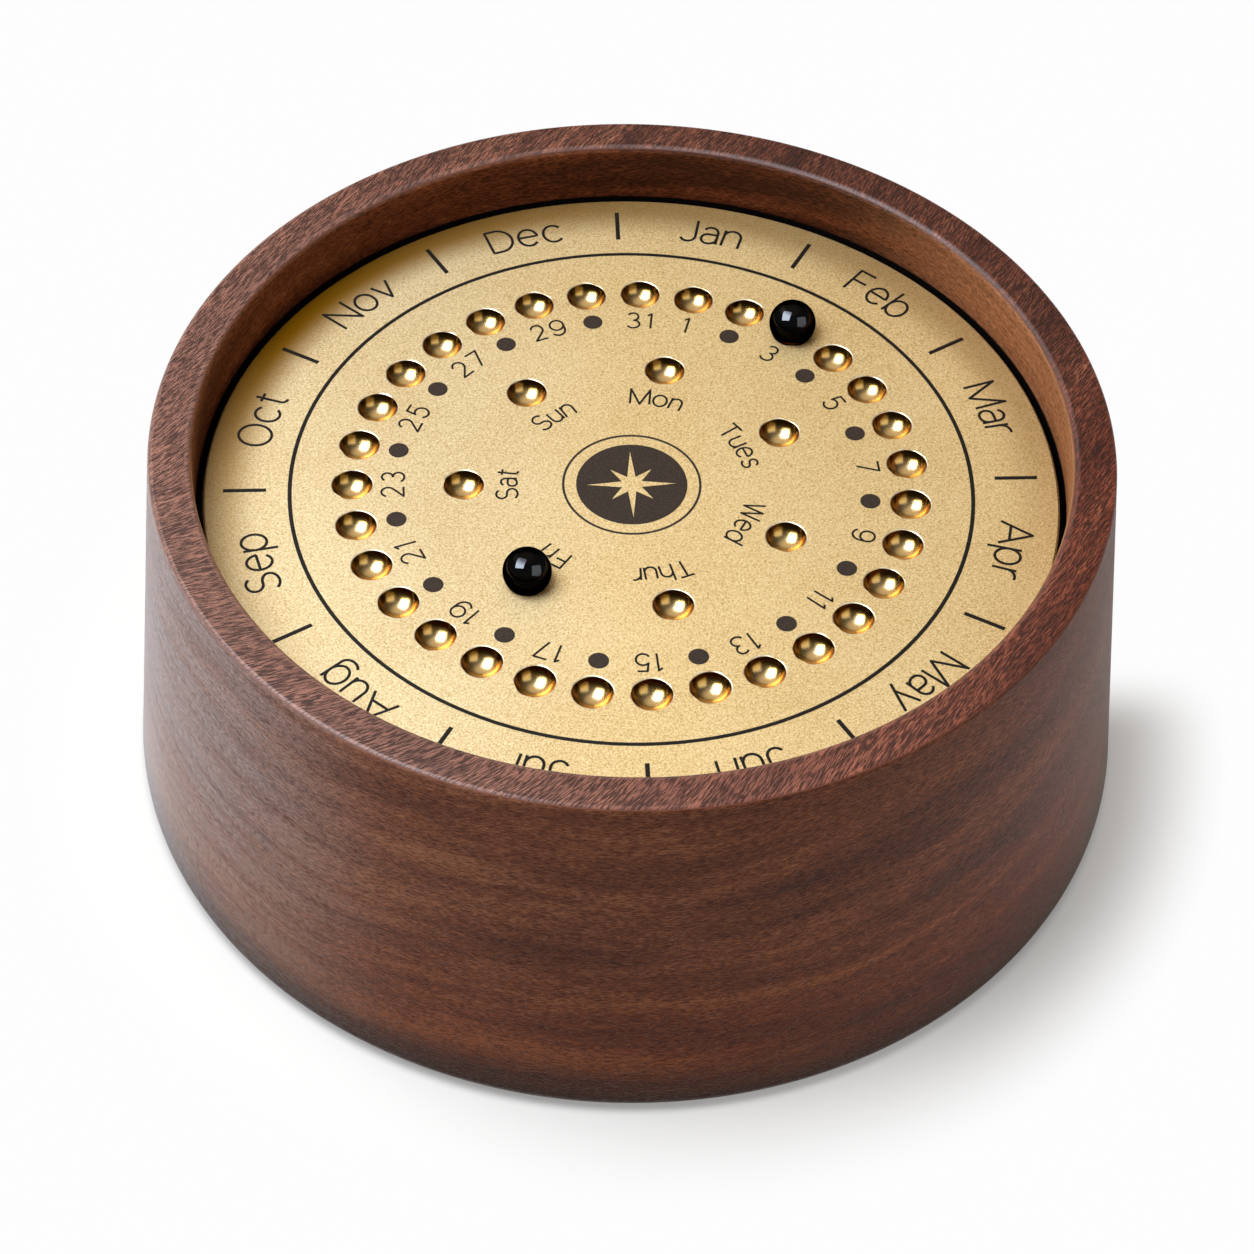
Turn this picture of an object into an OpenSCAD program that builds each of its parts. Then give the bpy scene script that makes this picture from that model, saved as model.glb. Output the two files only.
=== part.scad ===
// Perpetual desk calendar: a turned walnut drum with a brass dial that turns on a hidden pivot,
// and two loose balls that rest in the dial's dimples, one on the date and one on the weekday.
// Sizes are in millimetres. +Z is up and z = 0 is the table. The dial turns about Z, and +Y is
// its twelve o'clock, where December meets January. Angles on the dial run clockwise from there.

/* [Drum] */
// Outer diameter of the drum at its rim
drum_d = 118.2; // [114:0.2:140]
// Height of the walnut from foot to rim
drum_h = 51.4; // [44:0.2:64]
// How far the foot stands out beyond the rim, on the radius
drum_flare = 4.6; // [0:0.1:6]
// Thickness of the wall around the dial
rim_wall = 5.3; // [4.6:0.1:8]
// Round-over on the rim's outer edge
rim_outer_round = 0.7; // [0.3:0.1:1.5]
// Round-over on the rim's inner edge
rim_inner_round = 0.9; // [0.3:0.1:1.5]
// Round-over on the foot's outer edge
foot_round = 1.6; // [0.5:0.1:3]

/* [Dial] */
// Depth of the dial's face below the rim
dial_drop = 8.4; // [7:0.1:12]
// Thickness of the brass
dial_t = 3; // [2.7:0.1:4]
// Running gap between the dial's edge and the wall
dial_gap = 0.8; // [0.4:0.05:1.2]
// Chamfer on the dial's upper edge
dial_chamfer = 0.25; // [0.1:0.05:0.5]
// Number of date dimples
date_count = 31; // [28:1:31]
// Distance from the month ring line in to the circle of date dimples
date_inset = 7.7; // [7:0.1:9]
// Angle of the last date's dimple past twelve o'clock
date_turn = 4.1; // [0:0.1:10]
// Radius of the circle of weekday dimples
weekday_circle_r = 20.8; // [19.5:0.1:21.5]
// Angle of the first weekday's dimple past twelve o'clock
weekday_turn = 14; // [0:0.5:50]

/* [Balls and dimples] */
// Diameter of the marker balls
ball_d = 6; // [5.6:0.1:7]
// Diameter of a dimple's mouth
dimple_d = 5; // [3.8:0.1:5.3]
// How much larger the dimple's sphere is than its mouth, on the radius
dimple_ease = 0.2; // [0.05:0.05:0.6]
// Date that the first ball marks
date_set = 3; // [1:1:28]
// Weekday that the second ball marks, with Monday as 1
weekday_set = 5; // [1:1:7]

/* [Enamel markings] */
// Depth of the enamel below the dial's face
mark_depth = 0.2; // [0.1:0.05:0.4]
// Height of the enamel above the dial's face
mark_proud = 0.03; // [0.02:0.01:0.08]
// Distance from the dial's edge in to the month dividers
divider_margin = 2.5; // [2:0.1:4]
// Length of a month divider
divider_l = 5.3; // [4:0.1:6]
// Width of a month divider
divider_w = 0.55; // [0.3:0.05:1]
// Distance from the dividers in to the month ring line
month_ring_gap = 2.9; // [1.5:0.1:3.5]
// Width of the month ring line
month_ring_w = 0.5; // [0.2:0.05:0.8]
// Diameter of the dot that stands for an even date
dot_d = 2.5; // [1.6:0.1:2.8]
// Distance from the date dimples' circle in to the dots' circle
dot_inset = 5; // [4.4:0.1:5.6]
// Radius of the dark disc in the middle
rose_disc_r = 6.9; // [5:0.1:7.5]
// Radius of the thin circle around the disc
rose_circle_r = 8.5; // [8:0.1:9]
// Width of the thin circle
rose_circle_w = 0.3; // [0.2:0.05:0.6]
// Reach of the star's four long points
rose_long_r = 5.7; // [3.6:0.1:6.2]
// Reach of the star's four short points
rose_short_r = 3.7; // [2:0.1:5]
// Radius at the star's inner corners
rose_waist_r = 1.35; // [0.8:0.05:2]

/* [Hub and spindle] */
// Diameter of the hub's flange under the dial
hub_flange_d = 38; // [36:0.5:44]
// Thickness of the hub's flange
hub_flange_t = 2.8; // [2.4:0.1:4]
// Gap around the hub's flange in its pocket
hub_gap = 1.2; // [0.6:0.1:2]
// Diameter of the spindle's plain journal
spindle_d = 6; // [5:0.5:7]
// Diameter of the spindle's threaded end
thread_d = 4; // [3:0.5:5]
// Length of thread below the lock nut
thread_tail = 1; // [0.5:0.1:3]
// Radius of the circle of hub screws
hub_screw_circle_r = 14; // [12:0.1:15]
// Diameter of a hub screw's shank
hub_screw_d = 2.5; // [2:0.1:3]
// Depth that a hub screw bites into the dial
hub_screw_bite = 1.8; // [1.2:0.1:2]

/* [Bush and washers] */
// Wall of the bush's sleeve
bush_wall = 2.5; // [1.5:0.1:3.5]
// Length of the bush's sleeve below its flange
bush_sleeve_l = 10.6; // [8:0.2:14]
// Diameter of the bush's flange
bush_flange_d = 30; // [26:0.5:34]
// Thickness of the bush's flange
bush_flange_t = 2; // [1.6:0.1:3]
// Radius of the circle of bush screws
bush_screw_circle_r = 11; // [9.5:0.1:11.5]
// Diameter of a bush screw's shank
bush_screw_d = 2.6; // [2:0.1:3]
// Length of a bush screw below the flange
bush_screw_l = 9; // [6:0.5:12]
// Thickness of each thrust washer
thrust_t = 0.6; // [0.4:0.1:1.2]
// Diameter of the upper thrust washer
thrust_d = 15; // [12:0.5:16]
// Thickness of the disc spring's steel
spring_t = 0.4; // [0.3:0.05:0.6]
// Height of the disc spring
spring_h = 0.9; // [0.7:0.05:1.4]
// Thickness of the retaining washer
washer_t = 1; // [0.6:0.1:1.6]
// Width of the lock nut across its flats
nut_af = 7; // [6.4:0.1:8]
// Height of the lock nut's hexagon
nut_hex_h = 3.2; // [2.4:0.1:4]
// Height of the lock nut's collar
nut_collar_h = 1.8; // [1.2:0.1:2.4]
// Diameter of the access hole up to the lock nut
access_d = 11.6; // [11:0.1:12]

/* [Glide ring and base pad] */
// Distance from the dial's edge in to the glide ring
glide_margin = 2.6; // [1.5:0.1:5]
// Width of the felt glide ring
glide_w = 6; // [3:0.5:9]
// Height of the felt above the shelf
glide_proud = 0.8; // [0.5:0.1:1.2]
// Depth of the felt's groove in the shelf
glide_seat = 0.6; // [0.3:0.1:1.5]
// Width of the walnut foot around the base pad
foot_w = 4; // [3:0.1:8]
// Thickness of the cork base pad
pad_t = 1.8; // [1.2:0.1:3]
// How far the pad stands below the walnut
pad_proud = 0.6; // [0.3:0.1:1]

/* [Fits] */
// Radial clearance of the spindle in its bush
running_fit = 0.03; // [0.02:0.01:0.06]
// Clearance between faces that slide on each other
face_fit = 0.02; // [0.01:0.01:0.05]
// Clearance around pieces that drop into a seat
seat_fit = 0.1; // [0.05:0.05:0.3]

/* [Hidden] */
$fn = 96;

month_count = 12;
weekday_count = 7;
arc_steps = 8;
cut = 1; // how far a cutting shape runs past the face it cuts
csk_slope = 1; // a countersunk head widens as fast as it rises
rose_points = 8;
hub_screw_angle = 45; // the hub screws stand off the dial's own axes
collar_setback = 0.2; // the lock nut's collar is that much inside its flats
socket_share = 0.6; // a screw's hexagon socket as a share of its shank
hub_screw_count = 4;
bush_screw_count = 3;

// Levels, from the table up and then down the pivot
foot_z = pad_proud;
rim_z = foot_z + drum_h;
dial_top_z = rim_z - dial_drop;
dial_low_z = dial_top_z - dial_t;
shelf_z = dial_low_z - glide_proud;
glide_seat_z = shelf_z - glide_seat;
hub_low_z = dial_low_z - hub_flange_t;
bush_top_z = hub_low_z - thrust_t;
bush_seat_z = bush_top_z - bush_flange_t;
bush_low_z = bush_seat_z - bush_sleeve_l;
lower_thrust_z = bush_low_z - thrust_t;
journal_low_z = lower_thrust_z - spring_h;
washer_low_z = journal_low_z - washer_t;
hex_low_z = washer_low_z - nut_hex_h;
nut_low_z = hex_low_z - nut_collar_h;
thread_low_z = nut_low_z - thread_tail;

// Radii, from the wall in to the middle of the dial
rim_r = drum_d / 2;
foot_r = rim_r + drum_flare;
wall_r = rim_r - rim_wall;
dial_r = wall_r - dial_gap;
divider_out_r = dial_r - divider_margin;
divider_in_r = divider_out_r - divider_l;
month_ring_r = divider_in_r - month_ring_gap;
date_circle_r = month_ring_r - date_inset;
dot_circle_r = date_circle_r - dot_inset;
glide_out_r = dial_r - glide_margin;
glide_in_r = glide_out_r - glide_w;
pad_r = foot_r - foot_round - foot_w;

// Radii of the pivot
journal_r = spindle_d / 2;
thread_r = thread_d / 2;
hub_flange_r = hub_flange_d / 2;
hub_pocket_r = hub_flange_r + hub_gap;
bush_bore_r = journal_r + running_fit;
bush_r = bush_bore_r + bush_wall;
bush_flange_r = bush_flange_d / 2;
access_r = access_d / 2;
stack_gap = 0.8; // room around the washers below the bush
stack_r = access_r - stack_gap;
washer_bore_r = thread_r + seat_fit;
hub_head_r = hub_screw_d;
bush_head_r = bush_screw_d;

// Ball and dimple. A ball is larger than the dimple's sphere, so it rests on the mouth's edge.
ball_r = ball_d / 2;
mouth_r = dimple_d / 2;
dimple_r = mouth_r + dimple_ease;
dimple_rise = sqrt(pow(dimple_r, 2) - pow(mouth_r, 2)); // from the dial's face to the sphere's centre
ball_rise = sqrt(pow(ball_r, 2) - pow(mouth_r, 2)); // from the dial's face to the ball's centre
ball_z = dial_top_z + ball_rise + face_fit;

// Points along an arc about [x, z], from angle a to angle b
function arc(x, z, r, a, b) =
  [for (i = [0:arc_steps]) let (t = a + (b - a) * i / arc_steps) [x + r * cos(t), z + r * sin(t)]];

// Angle on the dial, clockwise from twelve o'clock
function date_angle(n) = date_turn + n * 360 / date_count;
function weekday_angle(n) = weekday_turn + (n - 1) * 360 / weekday_count;

// Places its children at a radius and a clockwise angle on the dial
module at_clock(r, angle) {
  rotate(-angle) translate([0, r, 0]) children();
}

// A flat ring that stands on z
module ring(outer_r, inner_r, z, h) {
  translate([0, 0, z])
    difference() {
      cylinder(r = outer_r, h = h);
      translate([0, 0, -cut]) cylinder(r = inner_r, h = h + 2 * cut);
    }
}

// A countersunk head that widens downwards to the face it sinks into, with its shank above.
// A cutter also runs past that face, and past the far one.
module countersunk(shank_r, head_r, shank_l, past = 0) {
  head_h = (head_r - shank_r) / csk_slope;
  rotate_extrude()
    polygon([
      [0, -past], [head_r, -past], [head_r, 0], [shank_r, head_h],
      [shank_r, shank_l + past], [0, shank_l + past]
    ]);
}

// The walnut drum: a solid turned block with the dial's recess above and the access hole below
lean = atan2(drum_flare, drum_h); // lean of the outer wall from the vertical
rim_arc_x = rim_r - rim_outer_round * (1 - sin(lean)) / cos(lean);
foot_arc_x = foot_r - foot_round * (1 + sin(lean)) / cos(lean);

function drum_outline() = concat(
  [
    [access_r, pad_t], [access_r, bush_low_z], [bush_r, bush_low_z], [bush_r, bush_seat_z],
    [bush_flange_r + seat_fit, bush_seat_z], [bush_flange_r + seat_fit, bush_top_z],
    [hub_pocket_r, bush_top_z], [hub_pocket_r, shelf_z],
    [glide_in_r - seat_fit, shelf_z], [glide_in_r - seat_fit, glide_seat_z],
    [glide_out_r + seat_fit, glide_seat_z], [glide_out_r + seat_fit, shelf_z], [wall_r, shelf_z]
  ],
  arc(wall_r + rim_inner_round, rim_z - rim_inner_round, rim_inner_round, 180, 90),
  arc(rim_arc_x, rim_z - rim_outer_round, rim_outer_round, 90, lean),
  arc(foot_arc_x, foot_z + foot_round, foot_round, lean, -90),
  [[pad_r + seat_fit, foot_z], [pad_r + seat_fit, pad_t]]
);

module walnut_drum() {
  color("#6b3f2c")
    difference() {
      rotate_extrude() polygon(drum_outline());
      bush_screw_places() cylinder(r = bush_screw_d / 2, h = bush_screw_l + cut);
    }
}

module cork_base_pad() {
  color("#b98a5e") cylinder(r = pad_r, h = pad_t);
}

module felt_glide_ring() {
  color("#3c3a38") ring(glide_out_r, glide_in_r, glide_seat_z, dial_low_z - glide_seat_z - face_fit);
}

// Starts at the tip of each bush screw, with +Z up
module bush_screw_places() {
  for (i = [0:bush_screw_count - 1])
    at_clock(bush_screw_circle_r, i * 360 / bush_screw_count)
      translate([0, 0, bush_seat_z - bush_screw_l]) children();
}

module pivot_bush() {
  color("#e8e4da")
    difference() {
      rotate_extrude()
        polygon([
          [bush_bore_r, bush_low_z], [bush_r, bush_low_z], [bush_r, bush_seat_z],
          [bush_flange_r, bush_seat_z], [bush_flange_r, bush_top_z], [bush_bore_r, bush_top_z]
        ]);
      for (i = [0:bush_screw_count - 1])
        at_clock(bush_screw_circle_r, i * 360 / bush_screw_count)
          translate([0, 0, bush_top_z])
            mirror([0, 0, 1])
              countersunk(bush_screw_d / 2, bush_head_r, bush_flange_t, past = cut);
    }
}

// Countersunk wood screws: a pointed shank in the walnut and a head sunk in the bush's flange
module bush_screws() {
  tip_l = bush_screw_d;
  tip_r = bush_screw_d / 8;
  cross_w = bush_screw_d / 3;
  color("#b9bcc0")
    bush_screw_places()
      difference() {
        union() {
          cylinder(r1 = tip_r, r2 = bush_screw_d / 2, h = tip_l);
          translate([0, 0, tip_l]) cylinder(r = bush_screw_d / 2, h = bush_screw_l - tip_l);
          translate([0, 0, bush_screw_l + bush_flange_t])
            mirror([0, 0, 1]) countersunk(bush_screw_d / 2, bush_head_r, bush_flange_t);
        }
        translate([0, 0, bush_screw_l + bush_flange_t])
          for (turn = [0, 90])
            rotate(turn) cube([bush_screw_d, cross_w, bush_screw_d / 2], center = true);
      }
}

module upper_thrust_washer() {
  color("#f4f2ec") ring(thrust_d / 2, bush_bore_r, bush_top_z, thrust_t - face_fit);
}

module lower_thrust_washer() {
  color("#f4f2ec") ring(stack_r, bush_bore_r, lower_thrust_z + face_fit, thrust_t - face_fit);
}

// Every dimple in the dial's face, as the spheres that cut them
module dimple_spheres() {
  translate([0, 0, dial_top_z + dimple_rise]) {
    for (n = [1:date_count]) at_clock(date_circle_r, date_angle(n)) sphere(r = dimple_r);
    for (n = [1:weekday_count]) at_clock(weekday_circle_r, weekday_angle(n)) sphere(r = dimple_r);
  }
}

// Starts at each hub screw's head, level with the underside of the hub's flange
module hub_screw_places() {
  for (i = [0:hub_screw_count - 1])
    at_clock(hub_screw_circle_r, hub_screw_angle + i * 360 / hub_screw_count)
      translate([0, 0, hub_low_z]) children();
}

module dial_plate() {
  color("#d9b56a")
    difference() {
      rotate_extrude()
        polygon([
          [0, dial_low_z], [dial_r, dial_low_z], [dial_r, dial_top_z - dial_chamfer],
          [dial_r - dial_chamfer, dial_top_z], [0, dial_top_z]
        ]);
      dimple_spheres();
      enamel_layer() {
        month_ring_shape();
        month_divider_shape();
        even_date_shape();
        centre_rose_shape();
      }
      hub_screw_places() cylinder(r = hub_screw_d / 2, h = hub_flange_t + hub_screw_bite);
    }
}

// Gives flat shapes the enamel's depth and height
module enamel_layer() {
  translate([0, 0, dial_top_z - mark_depth])
    for (i = [0:$children - 1])
      linear_extrude(height = mark_depth + mark_proud) children(i);
}

module month_ring_shape() {
  difference() {
    circle(r = month_ring_r + month_ring_w / 2);
    circle(r = month_ring_r - month_ring_w / 2);
  }
}

module month_divider_shape() {
  for (i = [0:month_count - 1])
    at_clock(divider_in_r + divider_l / 2, i * 360 / month_count)
      square([divider_w, divider_l], center = true);
}

module even_date_shape() {
  for (n = [2:2:date_count]) at_clock(dot_circle_r, date_angle(n)) circle(d = dot_d);
}

// An eight-pointed compass star left bare in a dark disc, inside a thin circle
module centre_rose_shape() {
  star = [
    for (i = [0:2 * rose_points - 1])
      let (
        tip_r = i % 4 == 0 ? rose_long_r : rose_short_r,
        r = i % 2 == 1 ? rose_waist_r : tip_r,
        angle = i * 180 / rose_points
      ) [r * sin(angle), r * cos(angle)]
  ];
  difference() {
    circle(r = rose_disc_r);
    polygon(star);
  }
  difference() {
    circle(r = rose_circle_r + rose_circle_w / 2);
    circle(r = rose_circle_r - rose_circle_w / 2);
  }
}

module month_ring_enamel() {
  color("#2b2320") enamel_layer() month_ring_shape();
}

module month_divider_enamel() {
  color("#2b2320") enamel_layer() month_divider_shape();
}

module even_date_enamel() {
  color("#2b2320") enamel_layer() even_date_shape();
}

module centre_rose_enamel() {
  color("#2b2320") enamel_layer() centre_rose_shape();
}

// The hub carries the dial on its flange and turns on its journal in the bush
module spindle_hub() {
  tip = thread_r / 4;
  color("#c9a25c")
    difference() {
      rotate_extrude()
        polygon([
          [0, thread_low_z], [thread_r - tip, thread_low_z], [thread_r, thread_low_z + tip],
          [thread_r, journal_low_z], [journal_r, journal_low_z], [journal_r, hub_low_z],
          [hub_flange_r, hub_low_z], [hub_flange_r, dial_low_z], [0, dial_low_z]
        ]);
      hub_screw_places() countersunk(hub_screw_d / 2, hub_head_r, hub_flange_t, past = cut);
    }
}

// Countersunk machine screws with a hexagon socket, driven up through the hub into the dial
module hub_screws() {
  socket_d = hub_screw_d * socket_share;
  color("#8f9398")
    hub_screw_places()
      difference() {
        countersunk(hub_screw_d / 2, hub_head_r, hub_flange_t + hub_screw_bite);
        translate([0, 0, -cut]) cylinder(d = socket_d, h = cut + hub_screw_d / 2, $fn = 6);
      }
}

// A conical spring washer that keeps the dial down without rattle
module disc_spring() {
  cone = spring_h - spring_t - 2 * face_fit;
  low_z = journal_low_z + face_fit;
  spring_bore_r = journal_r + seat_fit;
  color("#7d8187")
    rotate_extrude()
      polygon([
        [spring_bore_r, low_z + cone], [stack_r, low_z],
        [stack_r, low_z + spring_t], [spring_bore_r, low_z + spring_t + cone]
      ]);
}

module retaining_washer() {
  color("#a9adb2") ring(stack_r, washer_bore_r, washer_low_z, washer_t);
}

// A hexagon with its corners turned off, over a round collar that holds the insert
nut_corner_r = nut_af / 2 / cos(30);
collar_r = nut_af / 2 - collar_setback;
insert_r = (collar_r + thread_r) / 2;

module lock_nut() {
  corner_drop = nut_corner_r - nut_af / 2;
  color("#a9adb2")
    difference() {
      union() {
        intersection() {
          translate([0, 0, nut_low_z])
            cylinder(r = nut_corner_r, h = nut_collar_h + nut_hex_h + cut, $fn = 6);
          rotate_extrude()
            polygon([
              [0, hex_low_z], [nut_af / 2, hex_low_z], [nut_corner_r, hex_low_z + corner_drop],
              [nut_corner_r, washer_low_z - corner_drop], [nut_af / 2, washer_low_z],
              [0, washer_low_z]
            ]);
        }
        translate([0, 0, nut_low_z]) cylinder(r = collar_r, h = nut_collar_h + nut_hex_h / 2);
      }
      translate([0, 0, nut_low_z - cut]) cylinder(r = thread_r, h = washer_low_z - nut_low_z + 2 * cut);
      translate([0, 0, nut_low_z - cut]) cylinder(r = insert_r, h = nut_collar_h + cut);
    }
}

module lock_nut_insert() {
  color("#3f6fb0") ring(insert_r, thread_r, nut_low_z, nut_collar_h);
}

module date_ball() {
  color("#0b0b0c")
    at_clock(date_circle_r, date_angle(date_set)) translate([0, 0, ball_z]) sphere(r = ball_r);
}

module weekday_ball() {
  color("#0b0b0c")
    at_clock(weekday_circle_r, weekday_angle(weekday_set))
      translate([0, 0, ball_z]) sphere(r = ball_r);
}

walnut_drum();
cork_base_pad();
felt_glide_ring();
pivot_bush();
bush_screws();
upper_thrust_washer();
lower_thrust_washer();
dial_plate();
month_ring_enamel();
month_divider_enamel();
even_date_enamel();
centre_rose_enamel();
spindle_hub();
hub_screws();
disc_spring();
retaining_washer();
lock_nut();
lock_nut_insert();
date_ball();
weekday_ball();
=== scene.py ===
# %% [markdown]
# # A perpetual desk calendar, turned in walnut and brass
# The object is a round walnut drum with a sunken brass dial. The dial turns on a hidden pivot to
# bring the month to the front, and two loose black balls sit in its dimples to mark the date and
# the weekday. The CAD model is loaded first as a fixed frame, and everything made here is placed
# from that frame's own sizes. Lengths are in metres, so sizes known in millimetres are written
# with a factor, mm.

# %% Load the frame
import math

import bmesh
import bpy
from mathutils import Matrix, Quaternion, Vector
from mathutils.geometry import delaunay_2d_cdt


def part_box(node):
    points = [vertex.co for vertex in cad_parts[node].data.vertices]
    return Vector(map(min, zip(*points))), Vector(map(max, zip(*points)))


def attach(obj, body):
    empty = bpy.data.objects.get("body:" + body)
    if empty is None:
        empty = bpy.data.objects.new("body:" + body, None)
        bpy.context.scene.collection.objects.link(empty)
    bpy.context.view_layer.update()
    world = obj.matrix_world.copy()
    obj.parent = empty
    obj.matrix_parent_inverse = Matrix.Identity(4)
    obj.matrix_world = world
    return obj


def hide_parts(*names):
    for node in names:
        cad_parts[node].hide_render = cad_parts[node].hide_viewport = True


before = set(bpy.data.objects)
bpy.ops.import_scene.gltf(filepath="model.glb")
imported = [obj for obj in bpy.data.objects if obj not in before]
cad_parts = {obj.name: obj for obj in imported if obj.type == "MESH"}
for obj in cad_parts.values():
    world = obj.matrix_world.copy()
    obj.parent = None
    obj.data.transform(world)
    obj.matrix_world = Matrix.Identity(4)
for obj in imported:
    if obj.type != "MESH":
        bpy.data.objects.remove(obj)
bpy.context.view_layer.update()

mm = 0.001

# %% [markdown]
# ## Sizes that the dressing shares
# A calendar is a stack of turned parts on one axis, so a few radii and levels place nearly all of
# it. They could be typed in again, but then a change of the CAD model would leave the dressing
# behind. Reading them from the boxes of the CAD nodes keeps both in step.

# %% Radii and levels from the frame
drum_low, drum_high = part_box("walnut_drum")
dial_low, dial_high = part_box("dial_plate")
enamel_low, enamel_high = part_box("month_ring_enamel")
rim_z = drum_high.z
foot_z = drum_low.z
dial_r = dial_high.x
face_z = dial_high.z
underside_z = dial_low.z
enamel_z = enamel_high.z
dial_centre = Vector((0, 0, face_z))


def clock_place(radius, angle, z=0.0):
    """A point on the dial: a radius, and an angle in degrees clockwise from twelve o'clock."""
    turn = math.radians(angle)
    return Vector((radius * math.sin(turn), radius * math.cos(turn), z))


print("rim at", round(rim_z / mm, 2), "mm, dial face at", round(face_z / mm, 2), "mm")

# %% [markdown]
# ## The camera
# A desk calendar is read from above and in front, at about 45 degrees, so that both the dial and
# the drum's front show. A long lens about half a metre away keeps the circle of the dial from
# looking stretched. The camera is placed on a sphere around the dial's centre and aimed at a
# point on the axis a little below it, which frames the whole drum without any lens shift. A hand
# never holds a camera quite level, so it also rolls by a degree.

# %% Place the camera
view_distance = 0.460
view_elevation = 45.61
view_azimuth = -3.28
view_roll = 1.39
lens_mm = 106.46
aim = Vector((-0.00016, 0.0, 0.01724))


def from_dial(distance, azimuth, elevation):
    """A point at a distance from the dial's centre. Azimuth 0 is the front, and 90 the right."""
    side = math.radians(azimuth)
    rise = math.radians(elevation)
    flat = math.cos(rise)
    away = Vector((math.sin(side) * flat, -math.cos(side) * flat, math.sin(rise)))
    return dial_centre + distance * away


camera_data = bpy.data.cameras.new("camera")
camera_data.lens = lens_mm
camera_data.sensor_width = 36
camera_data.clip_start = 0.01
camera = bpy.data.objects.new("camera", camera_data)
camera.location = from_dial(view_distance, view_azimuth, view_elevation)
roll = Quaternion((0, 0, 1), math.radians(view_roll))
camera.rotation_euler = ((aim - camera.location).to_track_quat("-Z", "Y") @ roll).to_euler()
bpy.context.scene.collection.objects.link(camera)
bpy.context.scene.camera = camera
bpy.context.scene.view_settings.view_transform = "Standard"
print("camera at", [round(v, 3) for v in camera.location])

# %% [markdown]
# ## Shader sums as Python
# A finish such as walnut is a long sum of noises, masks and colours. Adding each node by hand
# hides the idea behind wiring. Here one small class wraps a socket: adding or multiplying two
# wires adds the Math node, vectors go through Vector Math, and colours are mixed with a Mix node.
# Any other node is made by naming its type, its settings and its sockets.


# %% The wire class
class Wire:
    """The output of a new node. It takes part in Python sums, and every sum adds a node."""

    def __init__(self, tree, kind, settings=None, sockets=None, output=0):
        node = tree.nodes.new("ShaderNode" + kind)
        for name, value in (settings or {}).items():
            if name == "stops":
                set_stops(node.color_ramp, value)
            else:
                setattr(node, name, value)
        for key, value in (sockets or {}).items():
            join(tree, value, node.inputs[key])
        self.tree = tree
        self.socket = node.outputs[output]

    def step(self, operation, *terms):
        if self.socket.type == "VECTOR":
            terms = [(t, t, t) if isinstance(t, (int, float)) else t for t in terms]
            return Wire(self.tree, "VectorMath", {"operation": operation}, dict(enumerate(terms)))
        return Wire(self.tree, "Math", {"operation": operation}, dict(enumerate(terms)))

    def __add__(self, other):
        return self.step("ADD", self, other)

    def __radd__(self, other):
        return self.step("ADD", other, self)

    def __sub__(self, other):
        return self.step("SUBTRACT", self, other)

    def __rsub__(self, other):
        return self.step("SUBTRACT", other, self)

    def __mul__(self, other):
        return self.step("MULTIPLY", self, other)

    def __rmul__(self, other):
        return self.step("MULTIPLY", other, self)

    def __pow__(self, other):
        return self.step("POWER", self, other)

    def __abs__(self):
        return self.step("ABSOLUTE", self)

    def clamp(self, low, high, to_low=0.0, to_high=1.0):
        """Maps low..high to to_low..to_high with soft ends, and holds it there outside."""
        sockets = {"Value": self, 1: low, 2: high, 3: to_low, 4: to_high}
        return Wire(self.tree, "MapRange", {"interpolation_type": "SMOOTHSTEP"}, sockets)

    def part(self, axis):
        """One coordinate of a vector: 0, 1 or 2."""
        return Wire(self.tree, "SeparateXYZ", None, {0: self}, axis)

    def ramp(self, *stops):
        """A colour for each value, from pairs of a place and a colour."""
        return Wire(self.tree, "ValToRGB", {"stops": stops}, {0: self})


print("wire class ready")


# %% Ramps, links and mixes
def set_stops(ramp, stops):
    """Gives a colour ramp its stops, which are pairs of a place and a colour."""
    while len(ramp.elements) < len(stops):
        ramp.elements.new(1.0)
    for element, (place, colour) in zip(ramp.elements, stops):
        element.position = place
        element.color = (*colour, 1.0)


def join(tree, value, socket):
    """Links a wire to a socket, or sets the socket's own value."""
    if isinstance(value, Wire):
        tree.links.new(value.socket, socket)
    elif socket.type == "RGBA" and len(value) == 3:
        socket.default_value = (*value, 1.0)
    else:
        socket.default_value = value


def blend_colours(tree, amount, first, second, mode="MIX"):
    """One colour laid over another by an amount from 0 to 1."""
    settings = {"data_type": "RGBA", "blend_type": mode}
    return Wire(tree, "Mix", settings, {0: amount, 6: first, 7: second}, 2)


def blend_vectors(tree, amount, first, second):
    """One vector faded into another by an amount from 0 to 1."""
    return Wire(tree, "Mix", {"data_type": "VECTOR"}, {0: amount, 4: first, 5: second}, 1)


print("ramps, links and mixes ready")


# %% Finishes, and what they are made of
def new_finish(name, fixed, varying=None):
    """A material on one Principled shader. varying is a function from the node tree and the
    object's own coordinates, in millimetres, to the sockets that change over the surface."""
    material = bpy.data.materials.new(name)
    material.use_nodes = True
    tree = material.node_tree
    shader = tree.nodes["Principled BSDF"]
    for socket, value in fixed.items():
        join(tree, value, shader.inputs[socket])
    if varying:
        place = Wire(tree, "TexCoord", output="Object") * (1 / mm)
        for socket, wire in varying(tree, place).items():
            join(tree, wire, shader.inputs[socket])
    return material


def noise(place, scale, detail=2.0, roughness=0.5, distortion=0.0):
    """A noise from 0 to 1 whose lumps are about 1 / scale millimetres across."""
    sockets = {"Vector": place, "Scale": scale, "Detail": detail, "Roughness": roughness}
    sockets["Distortion"] = distortion
    return Wire(place.tree, "TexNoise", None, sockets)


def bump(height, depth, strength=1.0):
    """A bumped normal from a height between 0 and 1. depth is in millimetres."""
    sockets = {"Height": height, "Distance": depth * mm, "Strength": strength}
    return Wire(height.tree, "Bump", None, sockets)


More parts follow.
